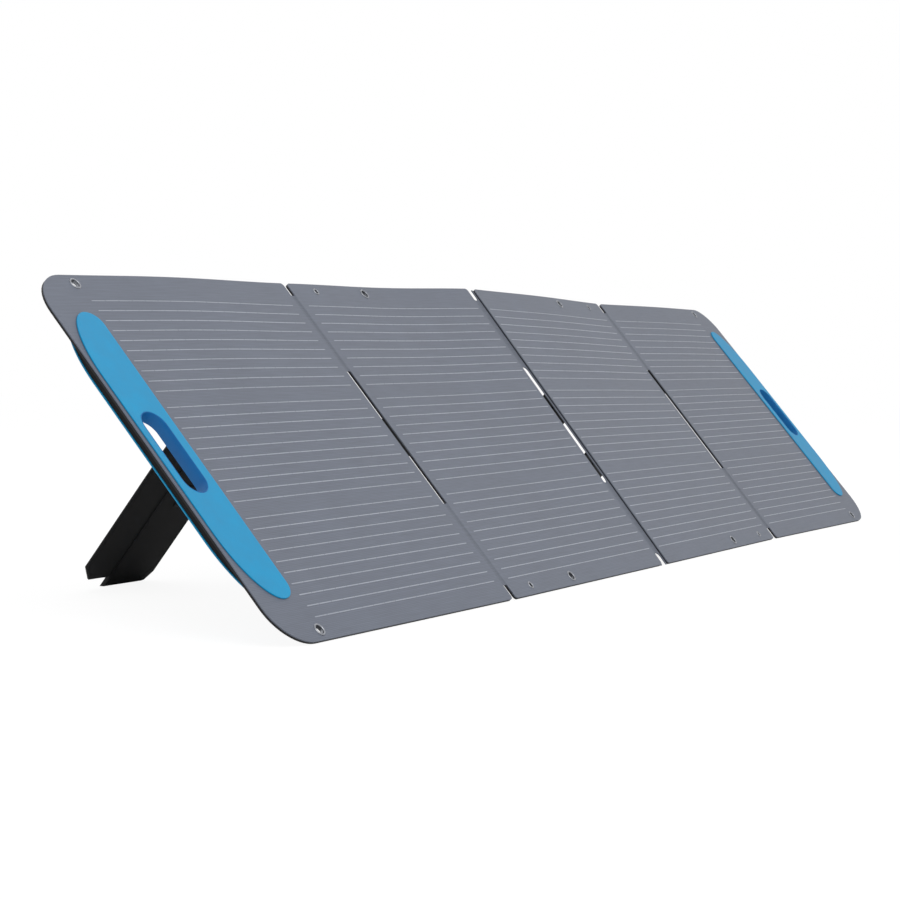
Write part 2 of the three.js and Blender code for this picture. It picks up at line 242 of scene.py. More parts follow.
@dataclass
class RowFrame:
    """The sloped row: x along it, u up the slope and n out of the cells, in millimetres."""

    joints: list
    pitch: float = 575.0
    height: float = 590.0
    lean_bottom: np.ndarray = field(default_factory=lambda: np.array([-3.6, 5.0, -0.1, -7.8, 1.8]))
    lean_top: np.ndarray = field(default_factory=lambda: np.array([-13.7, -0.7, 16.3, -0.4, 0.6]))
    crown: np.ndarray = field(default_factory=lambda: np.array([4.0, -4.0, 2.0, 1.5]))

    def __post_init__(self) -> None:
        """Finds the row's origin and axes from the first fold's axis."""
        fold = next(j for j in self.joints if j["name"] == "fold_1")
        self.up = np.array(fold["axis"], float)
        self.out = np.array([0.0, -self.up[2], self.up[1]])
        self.along = np.array([1.0, 0.0, 0.0])
        self.origin = (np.array(fold["pos_m"]) - self.along * self.pitch * MM
                       - self.up * self.height / 2 * MM)

    def drape(self, x: np.ndarray, u: np.ndarray) -> np.ndarray:
        """Soft stance of the cloth, in metres: hinge lines step a little, and each section crowns.

        The foot moves level and the head along the normal, both straight between hinge lines;
        the crown is sin^2 across a section times the share of the height.

        Args:
            x: millimetres along the row.
            u: millimetres up the slope.

        Returns:
            Displacement vectors, one row per point.
        """
        lines = np.arange(5) * self.pitch
        share = np.clip(u / self.height, 0, 1)
        foot = np.interp(x, lines, self.lean_bottom) * (1 - share)
        index = np.clip((x // self.pitch).astype(int), 0, 3)
        across = np.clip((x - index * self.pitch) / self.pitch, 0, 1)
        crown = self.crown[index] * np.sin(np.pi * across) ** 2 * share ** 2
        head = np.interp(x, lines, self.lean_top) * share + crown
        level = np.array([0.0, -1.0, 0.0])
        return (foot[:, None] * level + head[:, None] * self.out) * MM

    def place(self, points: np.ndarray, soft: bool = True) -> np.ndarray:
        """Turns row points (x, u, n) in millimetres to world metres, with the drape added."""
        x, u, n = points.T
        world = self.origin + (x[:, None] * self.along + u[:, None] * self.up + n[:, None] * self.out) * MM
        return world + self.drape(x, u) if soft else world


# ---------------------------------------------------------------- shapes

def arc(cx: float, cy: float, rx: float, ry: float, start: float, end: float, steps: int) -> np.ndarray:
    """Points of an ellipse arc: centre plus (rx cos t, ry sin t), t in degrees from start to end."""
    t = np.radians(np.linspace(start, end, steps))
    return np.column_stack([cx + rx * np.cos(t), cy + ry * np.sin(t)])


def rounded_outline(x0: float, y0: float, x1: float, y1: float, left: float, right: float,
                    steps: int = 14) -> np.ndarray:
    """A rectangle with quarter circles of its own radius at its left and right corners."""
    return np.vstack([
        arc(x0 + left, y0 + left, left, left, 180, 270, steps),
        arc(x1 - right, y0 + right, right, right, 270, 360, steps),
        arc(x1 - right, y1 - right, right, right, 0, 90, steps),
        arc(x0 + left, y1 - left, left, left, 90, 180, steps),
    ])


def stadium(cx: float, cy: float, width: float, length: float, steps: int = 20) -> np.ndarray:
    """A slot's outline: two half circles joined by straight sides."""
    r = width / 2
    half = length / 2 - r
    return np.vstack([arc(cx, cy + half, r, r, 0, 180, steps), arc(cx, cy - half, r, r, 180, 360, steps)])


def inside(points: np.ndarray, loop: np.ndarray) -> np.ndarray:
    """Which points lie inside a closed loop, by the even-odd count of crossings to the right."""
    a, b = loop, np.roll(loop, -1, axis=0)
    px, py = points[:, :1], points[:, 1:2]
    spans = (a[:, 1] > py) != (b[:, 1] > py)
    rise = np.where(b[:, 1] == a[:, 1], 1e-9, b[:, 1] - a[:, 1])
    cross = a[:, 0] + (py - a[:, 1]) / rise * (b[:, 0] - a[:, 0])
    return (np.sum(spans & (px < cross), axis=1) % 2).astype(bool)


def densify(loop: np.ndarray, step: float) -> np.ndarray:
    """Adds evenly spaced points, so that no side of a closed loop is longer than step."""
    side = np.roll(loop, -1, 0) - loop
    count = np.maximum(1, np.ceil(np.linalg.norm(side, axis=1) / step).astype(int))
    share = np.arange(count.sum()) - np.repeat(np.cumsum(count) - count, count)
    return np.repeat(loop, count, 0) + np.repeat(side / count[:, None], count, 0) * share[:, None]


def near_loop(points: np.ndarray, loop: np.ndarray, gap: float) -> np.ndarray:
    """Which points lie closer than gap to a loop's corner points."""
    return np.min(np.linalg.norm(points[:, None, :] - loop[None], axis=2), axis=1) < gap


def slab(outline: np.ndarray, holes: Sequence[np.ndarray], top: float, thickness: float,
         grid: float) -> tuple[np.ndarray, list]:
    """A closed slab: a fine triangulated top, the same bottom turned over, and a wall round each loop.

    Args:
        outline: outer loop, millimetres.
        holes: loops cut out.
        top: height of the upper face.
        thickness: how far the lower face lies under it.
        grid: spacing of the points inside.

    Returns:
        Points (x, y, z) and faces.
    """
    loops = [densify(loop, grid * 0.75) for loop in (outline, *holes)]
    lo, hi = outline.min(0), outline.max(0)
    gx = np.arange(lo[0] + grid / 2, hi[0], grid)
    gy = np.arange(lo[1] + grid / 2, hi[1], grid)
    inner = np.stack(np.meshgrid(gx, gy), -1).reshape(-1, 2)
    keep = inside(inner, outline)
    for loop in holes:
        keep &= ~inside(inner, loop)
    inner = inner[keep]
    for loop in loops:
        inner = inner[~near_loop(inner, loop, grid * 0.35)] if len(inner) else inner
    flat = np.vstack([*loops, inner])
    edges, start = [], 0
    for loop in loops:
        ring = start + np.arange(len(loop))
        edges.append(np.column_stack([ring, np.roll(ring, -1)]))
        start += len(loop)
    made = delaunay_2d_cdt([Vector(p) for p in flat.tolist()], np.vstack(edges).tolist(), [], 0, 1e-5)
    verts = np.array([tuple(v) for v in made[0]])
    tris = np.array(made[2])
    middle = verts[tris].mean(axis=1)
    ok = inside(middle, outline)
    for loop in holes:
        ok &= ~inside(middle, loop)
    tris = tris[ok]
    p, q, r = verts[tris[:, 0]], verts[tris[:, 1]], verts[tris[:, 2]]
    area = (q[:, 0] - p[:, 0]) * (r[:, 1] - p[:, 1]) - (q[:, 1] - p[:, 1]) * (r[:, 0] - p[:, 0])
    tris[area < 0] = tris[area < 0][:, ::-1]
    tris = tris[np.abs(area) > 1e-7]
    count = len(verts)
    directed = np.vstack([tris[:, [0, 1]], tris[:, [1, 2]], tris[:, [2, 0]]])
    key = np.sort(directed, axis=1) @ np.array([count, 1])
    _, back, seen = np.unique(key, return_inverse=True, return_counts=True)
    rim = directed[seen[back.reshape(-1)] == 1]
    walls = np.column_stack([rim[:, 1], rim[:, 0], rim[:, 0] + count, rim[:, 1] + count])
    points = np.vstack([np.column_stack([verts, np.full(count, top)]),
                        np.column_stack([verts, np.full(count, top - thickness)])])
    return points, tris.tolist() + (tris[:, ::-1] + count).tolist() + walls.tolist()


def closed_grid(points: np.ndarray) -> list:
    """Faces of a grid that closes on itself in both directions.

    Args:
        points: array of rows, columns and xyz.

    Returns:
        Quads over the flattened points.
    """
    rows, cols = points.shape[:2]
    i, j = np.meshgrid(np.arange(rows), np.arange(cols), indexing="ij")
    a = i * cols + j
    b = i * cols + (j + 1) % cols
    c = ((i + 1) % rows) * cols + (j + 1) % cols
    d = ((i + 1) % rows) * cols + j
    return np.stack([a, b, c, d], -1).reshape(-1, 4).tolist()


def ring_sweep(loop: np.ndarray, profile: np.ndarray) -> tuple[np.ndarray, list]:
    """Carries a closed profile (outward, height) round a closed loop, along each point's outward normal."""
    ahead, behind = np.roll(loop, -1, 0), np.roll(loop, 1, 0)
    run = ahead - behind
    normal = np.column_stack([run[:, 1], -run[:, 0]]) / np.linalg.norm(run, axis=1, keepdims=True)
    flat = loop[:, None, :] + normal[:, None, :] * profile[None, :, :1]
    height = np.broadcast_to(profile[None, :, 1:], (*flat.shape[:2], 1))
    grid = np.concatenate([flat, height], -1)
    return grid.reshape(-1, 3), closed_grid(grid)


def stitches(path: np.ndarray, z: float, pitch: float = 4.2, size: float = 0.55) -> tuple[np.ndarray, list]:
    """A run of sewn threads along a polyline: each a flattened spindle of four sides and five rings.

    Args:
        path: corner points (x, y) in millimetres.
        z: height of the cloth.
        pitch: stitch spacing.
        size: half width of a thread.

    Returns:
        Points and faces.
    """
    run = np.concatenate([[0], np.cumsum(np.linalg.norm(np.diff(path, axis=0), axis=1))])
    at = np.arange(pitch / 2, run[-1], pitch)
    centre = np.column_stack([np.interp(at, run, path[:, k]) for k in (0, 1)])
    ahead = np.column_stack([np.interp(at + 0.5, run, path[:, k]) for k in (0, 1)])
    behind = np.column_stack([np.interp(at - 0.5, run, path[:, k]) for k in (0, 1)])
    way = ahead - behind
    way /= np.linalg.norm(way, axis=1, keepdims=True) + 1e-9
    side = np.column_stack([-way[:, 1], way[:, 0]])
    along = np.array([-0.38, -0.22, 0.0, 0.22, 0.38]) * pitch
    fat = np.array([0.25, 0.9, 1.0, 0.9, 0.25]) * size
    turn = np.radians([45, 135, 225, 315])
    flat = (centre[:, None, None] + way[:, None, None] * along[None, :, None, None]
            + side[:, None, None] * (fat[None, :, None] * np.cos(turn))[..., None])
    height = z + np.broadcast_to(fat[:, None] * np.sin(turn), (len(at), 5, 4))
    points = np.concatenate([flat, height[..., None]], -1).reshape(-1, 3)
    base = np.arange(len(at))[:, None, None] * 20
    r, t = np.meshgrid(np.arange(4), np.arange(4), indexing="ij")
    quad = np.stack([r * 4 + t, (r + 1) * 4 + t, (r + 1) * 4 + (t + 1) % 4, r * 4 + (t + 1) % 4], -1).reshape(-1, 4)
    caps = np.array([[0, 1, 2, 3], [19, 18, 17, 16]])
    faces = (base + np.vstack([quad, caps])[None]).reshape(-1, 4)
    return points, faces.tolist()


def loop_inset(loop: np.ndarray, gap: float) -> np.ndarray:
    """Moves a counter-clockwise loop inwards by gap along its normals and closes it."""
    kept = loop[np.linalg.norm(loop - np.roll(loop, 1, 0), axis=1) > 1e-6]
    run = np.roll(kept, -1, 0) - np.roll(kept, 1, 0)
    normal = np.column_stack([-run[:, 1], run[:, 0]]) / (np.linalg.norm(run, axis=1, keepdims=True) + 1e-9)
    moved = kept + normal * gap
    return np.vstack([moved, moved[:1]])


class Workshop:
    """Makes finished pieces: a mesh, its cloth map, its material and its body."""

    def __init__(self, row: RowFrame) -> None:
        """Keeps the row's frame and a store of built finishes."""
        self.row = row
        self.stock: dict[str, bpy.types.Material] = {}

    def finish_of(self, finish: WovenCloth | GrainedSolid) -> bpy.types.Material:
        """The built material of a finish, made once."""
        if finish.name not in self.stock:
            self.stock[finish.name] = finish.build()
        return self.stock[finish.name]

    def piece(self, name: str, points: np.ndarray, faces: list, finish: WovenCloth | GrainedSolid,
              place: Callable[[np.ndarray], np.ndarray] | None = None, body: str | None = None,
              replaces: Sequence[str] = (), bevel: float = 0.0) -> bpy.types.Object:
        """Makes one piece.

        Args:
            name: the piece's name.
            points: x, y, z in millimetres.
            faces: vertex numbers.
            finish: what it is made of.
            place: turns millimetre points to world metres; the row's own place if left out.
            body: the body it rides on, or None to leave it unattached.
            replaces: CAD nodes it stands for.
            bevel: edge radius in millimetres.

        Returns:
            The object.
        """
        world = (place or self.row.place)(points)
        mesh = bpy.data.meshes.new(name)
        mesh.from_pydata(world.tolist(), [], faces)
        layer = mesh.uv_layers.new(name=CLOTH_UV)
        corner = np.empty(len(mesh.loops), np.int32)
        mesh.loops.foreach_get("vertex_index", corner)
        layer.data.foreach_set("uv", (points[corner][:, :2] * MM).astype(np.float32).ravel())
        mesh.materials.append(self.finish_of(finish))
        mesh.shade_smooth()
        mesh.set_sharp_from_angle(angle=np.radians(35))
        mesh.update()
        obj = bpy.data.objects.new(name, mesh)
        bpy.context.scene.collection.objects.link(obj)
        if bevel:
            cut = obj.modifiers.new("edge", "BEVEL")
            cut.width, cut.segments, cut.limit_method = bevel * MM, 3, "ANGLE"
            cut.angle_limit = np.radians(50)
            cut.harden_normals = False
        if body:
            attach(obj, body)
        if replaces:
            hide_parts(*replaces)
        return obj


# ---------------------------------------------------------------- sub-assemblies

@dataclass
class Section:
    """One cloth-covered section: front sheet, ribbon lines, cell film, back cover, stitches and eyelets."""

    index: int
    pitch: float = 575.0
    height: float = 590.0
    front: float = 1.5
    back_top: float = -2.1
    back: float = 2.4
    outer_radius: float = 60.0
    inner_radius: float = 6.0
    eyelet_up: float = 15.0
    line_top: float = 44.2
    line_pitch: float = 17.0
    group_gap: float = 26.8
    line_side: float = 21.5
    line_outer: float = 88.2
    line_width: float = 1.35
    cell_width: float = 27.0

    @property
    def name(self) -> str:
        """The section's body name."""
        return f"section_{self.index + 1}"

    @property
    def span(self) -> tuple[float, float]:
        """Where the section starts and ends along the row."""
        gap = {0: 0.0, 1: 5.5, 2: 13.3, 3: 8.3, 4: 0.0}
        return (self.index * self.pitch + gap[self.index],
                (self.index + 1) * self.pitch - gap[self.index + 1])

    def outline(self) -> np.ndarray:
        """The section's outline with its corner radii."""
        x0, x1 = self.span
        left = self.outer_radius if self.index == 0 else self.inner_radius
        right = self.outer_radius if self.index == 3 else self.inner_radius
        return rounded_outline(x0, 0, x1, self.height, left, right)

    def eyelet_places(self) -> list[tuple[float, float, bool]]:
        """Each eyelet's x, u and whether it is small, in the CAD's order."""
        at = {0: [(80.0, False)], 1: [(647.0, True), (790.0, False)],
              2: [(1653.0, True), (1510.0, False)], 3: [(2220.0, False)]}[self.index]
        return [(x, u, small) for x, small in at for u in (self.eyelet_up, self.height - self.eyelet_up)]

    def finger_hole(self) -> list[np.ndarray]:
        """The grip's finger slot through an outer section."""
        centre = {0: 39.0, 3: 2261.0}.get(self.index)
        return [stadium(centre, self.height / 2, 46.0, 130.0)] if centre else []

    def build(self, shop: Workshop) -> None:
        """Builds and dresses the section."""
        holes = [arc(x, u, *(2 * [4.4 if small else 7.4]), 0, 345, 24) for x, u, small in self.eyelet_places()]
        holes += self.finger_hole()
        outline = self.outline()
        points, faces = slab(outline, holes, 0.0, self.front, 16.0)
        shop.piece(f"{self.name}_laminate_front", points, faces, LAMINATE, body=self.name,
                   replaces=[f"{self.name}_front_sheet"])
        points, faces = slab(outline, holes, self.back_top, self.back, 16.0)
        shop.piece(f"{self.name}_cloth_back", points, faces, COVER, body=self.name,
                   replaces=[f"{self.name}_back_cover"])
        x0, x1 = self.span
        left = 90.0 if self.index == 0 else x0 + 14
        right = self.pitch * 4 - 90.0 if self.index == 3 else x1 - 14
        points, faces = slab(rounded_outline(left, 36, right, 554, 3, 3), [], -1.45, 0.7, 24.0)
        shop.piece(f"{self.name}_cell_film", points, faces, CELLS, body=self.name,
                   replaces=[f"{self.name}_cell_sheet"])
        self.ribbons(shop)
        self.seams(shop, outline)
        for k, (x, u, small) in enumerate(self.eyelet_places()):
            self.eyelet(shop, k + 1, x, u, small)

    def ribbons(self, shop: Workshop) -> None:
        """Thirty printed ribbon lines in three groups of ten, each a row of thin strips with small breaks."""
        n = np.arange(30)
        group, member = n // 10, n % 10
        down = self.line_top + group * (9 * self.line_pitch + self.group_gap) + member * self.line_pitch
        left = self.index * self.pitch + (self.line_outer if self.index == 0 else self.line_side)
        right = (self.index + 1) * self.pitch - (self.line_outer if self.index == 3 else self.line_side)
        count = round((right - left) / self.cell_width)
        edges = np.linspace(left, right, count + 1)
        x0, x1 = edges[:-1] + 0.5, edges[1:] - 0.5
        u, a = np.meshgrid(self.height - down, x0, indexing="ij")
        _, b = np.meshgrid(down, x1, indexing="ij")
        u, a, b = u.ravel(), a.ravel(), b.ravel()
        half = self.line_width / 2
        side = np.array([[0, -1, 0.16], [1, -1, 0.16], [1, 1, 0.16], [0, 1, 0.16],
                         [0, -1, -0.3], [1, -1, -0.3], [1, 1, -0.3], [0, 1, -0.3]])
        x = a[:, None] + (b - a)[:, None] * side[:, 0]
        y = u[:, None] + half * side[:, 1]
        z = np.broadcast_to(side[:, 2], x.shape)
        points = np.stack([x, y, z], -1).reshape(-1, 3)
        one = np.array([[0, 1, 2, 3], [7, 6, 5, 4], [0, 4, 5, 1], [1, 5, 6, 2], [2, 6, 7, 3], [3, 7, 4, 0]])
        faces = (np.arange(len(u))[:, None, None] * 8 + one).reshape(-1, 4).tolist()
        shop.piece(f"{self.name}_ribbon_lines", points, faces, RIBBON, body=self.name)

    def seams(self, shop: Workshop, outline: np.ndarray) -> None:
        """Stitches round the back cover."""
        points, faces = stitches(loop_inset(outline, 5.0), self.back_top - self.back)
        shop.piece(f"{self.name}_edge_stitching", points, faces, THREAD, body=self.name)

    def eyelet(self, shop: Workshop, number: int, x: float, u: float, small: bool) -> None:
        """A rolled eyelet: half-round flanges front and back on a thin tube, turned round its centre."""
        hole, rim = (3.6, 6.2) if small else (6.3, 9.0)
        low = self.back_top - self.back
        mid, half = (hole + rim) / 2, (rim - hole) / 2
        t = np.radians(np.linspace(180, 0, 11))
        front = np.column_stack([mid + half * np.cos(t), 0.1 + 1.1 * np.sin(t)])
        back = np.column_stack([mid - half * np.cos(t), low - 0.1 - 0.9 * np.sin(t)])
        tube = np.array([[hole + 0.8, 0.05], [hole + 0.8, low]])
        profile = np.vstack([front, tube, back])
        loop = arc(0, 0, 1.0, 1.0, 0, 360, 49)[:-1]
        grid = np.concatenate([loop[:, None, :] * profile[None, :, :1] + np.array([x, u]),
                               np.broadcast_to(profile[None, :, 1:], (48, len(profile), 1))], -1)
        name = f"{self.name}_eyelet_{number}"
        shop.piece(f"{name}_rolled", grid.reshape(-1, 3), closed_grid(grid), STEEL, body=self.name,
                   replaces=[name])


@dataclass
class Grip:
    """A carrying grip: blue moulded plates outside a foam core, and a finger slot whose swept wall is painted a darker
    blue as shade.
    """

    side: int
    edge: float = 5.0
    width: float = 73.0
    length: float = 460.0
    plate: float = 2.2
    row_length: float = 2300.0
    height: float = 590.0

    @property
    def word(self) -> str:
        """left or right."""
        return "left" if self.side < 0 else "right"

    def outline(self, inset: float) -> np.ndarray:
        """Straight inner side, small inner corners and long elliptic curves to the outer side."""
        inner, outer = self.edge + self.width - inset, self.edge + inset
        h, r = self.length / 2 - inset, 22 - inset
        rx, ry = 50 - inset, 105 - inset
        d = np.vstack([arc(inner - r, h - r, r, r, 0, 90, 14), arc(outer + rx, h - ry, -rx, ry, 90, 0, 28),
                       arc(outer + rx, -h + ry, -rx, ry, 0, -90, 28), arc(inner - r, -h + r, r, r, -90, 0, 14)])
        start = 0.0 if self.side < 0 else self.row_length
        points = np.column_stack([start - self.side * d[:, 0], self.height / 2 + d[:, 1]])
        return points if self.side < 0 else points[::-1]

    def build(self, shop: Workshop) -> None:
        """Builds both plates, the core and the slot wall, whose darker blue is painted shade."""
        body = "section_1" if self.side < 0 else "section_4"
        name = f"grip_{self.word}"
        centre = 39.0 if self.side < 0 else self.row_length - 39.0
        hole = stadium(centre, self.height / 2, 46.0, 130.0)
        for part, top, thick, inset, finish, slot, edge in (
                ("front_plate", 2.3, self.plate, 0.0, GRIP_BLUE, "grip", 0.7),
                ("core", -4.5, 9.6, 1.5, FOAM, "core", 1.0),
                ("back_plate", -13.9, self.plate, 0.0, GRIP_BLUE, "grip", 0.7)):
            points, faces = slab(self.outline(inset), [hole], top, thick, 18.0)
            shop.piece(f"{name}_{part}_moulded", points, faces, finish, body=body, bevel=edge,
                       replaces=[f"{name}_{part}"])
        t = np.radians(np.linspace(0, 180, 7))
        profile = np.vstack([np.column_stack([-0.6 + 0.6 * np.cos(t), 1.9 + 0.5 * np.sin(t)]),
                             np.column_stack([-0.6 - 0.6 * np.cos(t), -15.8 - 0.4 * np.sin(t)])])
        loop = stadium(centre, self.height / 2, 46.0, 130.0, 28)
        keep = np.linalg.norm(loop - np.roll(loop, 1, 0), axis=1) > 1e-6
        points, faces = ring_sweep(loop[keep], profile)
        # The slot wall takes the darker blue: painted shade inside the recess.
        shop.piece(f"{name}_slot_wall_shaded", points, faces, SLOT_SHADE_BLUE, body=body)


@dataclass
class HingeWeb:
    """A short web of cloth between two outer sections, creased along its hinge line."""

    hinge: int
    half: float = 8.7
    thickness: float = 1.1
    pitch: float = 575.0

    def build(self, shop: Workshop) -> None:
        """Builds the lower and upper webs, each with a shallow crease along the hinge line."""
        x = self.hinge * self.pitch
        turn = -1.0 if self.hinge == 1 else 1.0
        for word, u0, u1 in (("lower", 24.0, 171.0), ("upper", 419.0, 566.0)):
            outline = rounded_outline(x - self.half, u0, x + self.half, u1, 1.0, 1.0, 4)
            points, faces = slab(outline, [], -0.12, self.thickness, 1.8)
            points[:, 2] -= 0.55 * np.exp(-((points[:, 0] - x) / 1.3) ** 2)
            web = shop.piece(f"hinge_{self.hinge}_{word}_cloth", points, faces, WEB_CLOTH,
                             replaces=[f"hinge_{self.hinge}_web_{word}"])
            ends = shop.row.place(np.array([[x - turn * 7.0, 295.0, 0.0], [x + turn * 7.0, 295.0, 0.0]]))
            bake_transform(web)


@dataclass
class CentreWeb:
    """The centre strip, level with the back covers, that folds on two lines."""

    x: float = 1150.0
    half: float = 13.6
    slot_half: float = 8.5
    top: float = -3.2
    thickness: float = 1.3
    height: float = 590.0

    def half_outline(self, side: int) -> np.ndarray:
        """One half of the strip, with half of each end notch and of the centre slot."""
        s, r, h = self.slot_half, self.slot_half, self.height
        d = np.vstack([
            [[self.half, 0.0], [s, 0.0]], arc(0, 24 - r, s, r, 0, 90, 8), arc(0, 171 + r, s, r, -90, 0, 8),
            arc(0, 419 - r, s, r, 0, 90, 8), arc(0, h - 24 + r, s, r, -90, 0, 8),
            [[s, h], [self.half, h]],
        ])
        points = np.column_stack([self.x + side * d[:, 0], d[:, 1]])
        return points[::-1] if side > 0 else points

    def build(self, shop: Workshop) -> None:
        """Builds the two halves, one on each side of the centre line."""
        for side, word, a, b, line in ((-1, "left", "section_2", "centre_web", 1145.0),
                                       (1, "right", "centre_web", "section_3", 1155.0)):
            points, faces = slab(self.half_outline(side), [], self.top, self.thickness, 2.4)
            web = shop.piece(f"centre_cloth_{word}", points, faces, WEB_CLOTH,
                             replaces=["centre_web_strip"] if side < 0 else [])
            ends = shop.row.place(np.array([[line - 3.0, 295.0, -4.5], [line + 3.0, 295.0, -4.5]]))
            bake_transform(web)


@dataclass
class Leg:
    """A fold-out leg: a board and a side wing in cloth, its sewn hinge tape, strap tab and anchor."""

    index: int
    foot: float = 486.0
    width: float = 110.0
    wing: float = 75.0
    chamfer: float = 26.0
    thickness: float = 6.0
    hinge_u: float = 490.0
    hinge_n: float = -10.0
    open_deg: float = 79.228
    lean_deg: float = 50.0

    @property
    def right(self) -> float:
        """The board's right side along the row."""
        return {0: 558.0, 1: 1133.0, 2: 1708.0, 3: 2133.0}[self.index]

    def placer(self, row: RowFrame) -> Callable[[np.ndarray], np.ndarray]:
        """Turns leg points (x, y down the leg as negative, z out) to the world, and cuts the sole at the floor.

        The leg turns by its open angle; a point under the floor slides back up along the leg to it.
        """
        angle = np.radians(self.open_deg)
        cos, sin = np.cos(angle), np.sin(angle)
        shift = row.drape(np.array([self.right - self.width]), np.array([self.hinge_u]))[0]

        def place(points: np.ndarray) -> np.ndarray:
            """Places leg points in the world."""
            x, y, z = points.T
            bent = np.column_stack([x, self.hinge_u + y * cos - z * sin, self.hinge_n + y * sin + z * cos])
            world = row.place(bent, soft=False) + shift
            down = -(row.up * cos + row.out * sin)
            under = np.clip(-world[:, 2], 0, None) / -down[2]
            return world - down * under[:, None]
        return place

    def build(self, shop: Workshop) -> None:
        """Builds the boards and what is sewn on and round them."""
        name, body = f"leg_{self.index + 1}", f"leg_{self.index + 1}"
        place = self.placer(shop.row)
        crease, right = self.right - self.width, self.right
        end = -self.foot - 14
        board = np.array([[crease, end], [right - self.chamfer, end], [right, end + self.chamfer * 1.3 + 8],
                          [right, -4.0], [crease, -4.0]])
        wing = np.array([[crease - self.wing + self.chamfer, -458.0], [crease - 0.6, -458.0], [crease - 0.6, -4.0],
                         [crease - self.wing, -4.0], [crease - self.wing, -458.0 + self.chamfer]])
        half = self.thickness / 2
        points, faces = slab(board, [], half, self.thickness, 14.0)
        shop.piece(f"{name}_board_cloth", points, faces, BOARD_CLOTH, place, body,
                   [f"{name}_board"], bevel=1.6)
        points, faces = slab(wing, [], half - 1, self.thickness - 2, 14.0)
        shop.piece(f"{name}_wing_cloth", points, faces, BOARD_CLOTH, place, body,
                   [f"{name}_wing"], bevel=1.2)
        crease_path = np.array([[crease - 4.5, -14.0], [crease - 4.5, -452.0]])
        board_path = np.array([[crease + 5, -12.0], [crease + 5, end + 24], [right - self.chamfer - 2, end + 24],
                               [right - 5, end + 56], [right - 5, -12.0], [crease + 5, -12.0]])
        wing_path = loop_inset(wing, 5.0)
        for word, path, z in (("board_front", board_path, half), ("board_back", board_path, -half),
                              ("wing_front", wing_path, half - 1), ("wing_back", wing_path, 1 - half),
                              ("crease", crease_path, half - 1)):
            points, faces = stitches(path, z)
            shop.piece(f"{name}_{word}_stitching", points, faces, THREAD, place, body)
        mid = crease + self.width / 2
        tab = rounded_outline(mid - 15, -320, mid + 15, -280, 3, 3, 6)
        points, faces = slab(tab, [], half + 1.6, 1.7, 5.0)
        shop.piece(f"{name}_strap_tab_webbing", points, faces, WEBBING, place, body,
                   [f"{name}_strap_tab"], bevel=0.4)
        self.boxed_cross(shop, f"{name}_tab_stitching", mid, -300.0, half + 1.6, body, place)
        section = f"section_{self.index + 1}"
        pad = rounded_outline(mid - 15, 110, mid + 15, 150, 3, 3, 6)
        points, faces = slab(pad, [], -4.45, 1.7, 5.0)
        shop.piece(f"{name}_strap_anchor_webbing", points, faces, WEBBING, None, section,
                   [f"{name}_strap_anchor"], bevel=0.4)
        self.boxed_cross(shop, f"{name}_anchor_stitching", mid, 130.0, -6.15, section, None)
        self.tape(shop, section, crease - self.wing, right)

    def boxed_cross(self, shop: Workshop, name: str, x: float, y: float, z: float, body: str,
                    place: Callable[[np.ndarray], np.ndarray] | None) -> None:
        """A sewn box with a cross in it, 22 by 30 mm."""
        box = np.array([[-11, -15], [11, -15], [11, 15], [-11, 15], [-11, -15], [11, 15], [11, -15], [-11, 15]])
        points, faces = stitches(box + np.array([x, y]), z, 3.2, 0.45)
        shop.piece(name, points, faces, THREAD, place, body)

    def tape(self, shop: Workshop, section: str, left: float, right: float) -> None:
        """The hinge tape: a flat strip whose rolled lower edge is the bead the leg turns on."""
        t = np.radians(np.linspace(-60, 150, 22))
        roll = np.column_stack([self.hinge_u - 3.7 * np.cos(t), self.hinge_n - 3.7 * np.sin(t)])
        profile = np.vstack([[[518.0, -4.4], [488.2, -4.4]], roll, [[499.2, -6.2], [518.0, -6.2]]])
        x = np.linspace(left, right, 40)
        grid = np.stack(np.broadcast_arrays(x[:, None], profile[None, :, 0], profile[None, :, 1]), -1)
        count = len(profile)
        points = grid.reshape(-1, 3)
        i, j = np.meshgrid(np.arange(39), np.arange(count), indexing="ij")
        k = (j + 1) % count
        quads = np.stack([i * count + j, i * count + k, (i + 1) * count + k, (i + 1) * count + j], -1)
        caps = [list(range(count))[::-1], [39 * count + m for m in range(count)]]
        obj = shop.piece(f"{section.replace('section', 'leg')}_hinge_tape_cloth", points,
                         quads.reshape(-1, 4).tolist() + caps, WEBBING, None, section,
                         [f"{section.replace('section', 'leg')}_hinge_tape"])
        outward_normals(obj)
        for row_number, u in enumerate((504.0, 514.0)):
            points, faces = stitches(np.array([[left + 3, u], [right - 3, u]]), -6.2)
            shop.piece(f"{section.replace('section', 'leg')}_tape_stitching_{row_number + 1}", points, faces,
                       THREAD, None, section)


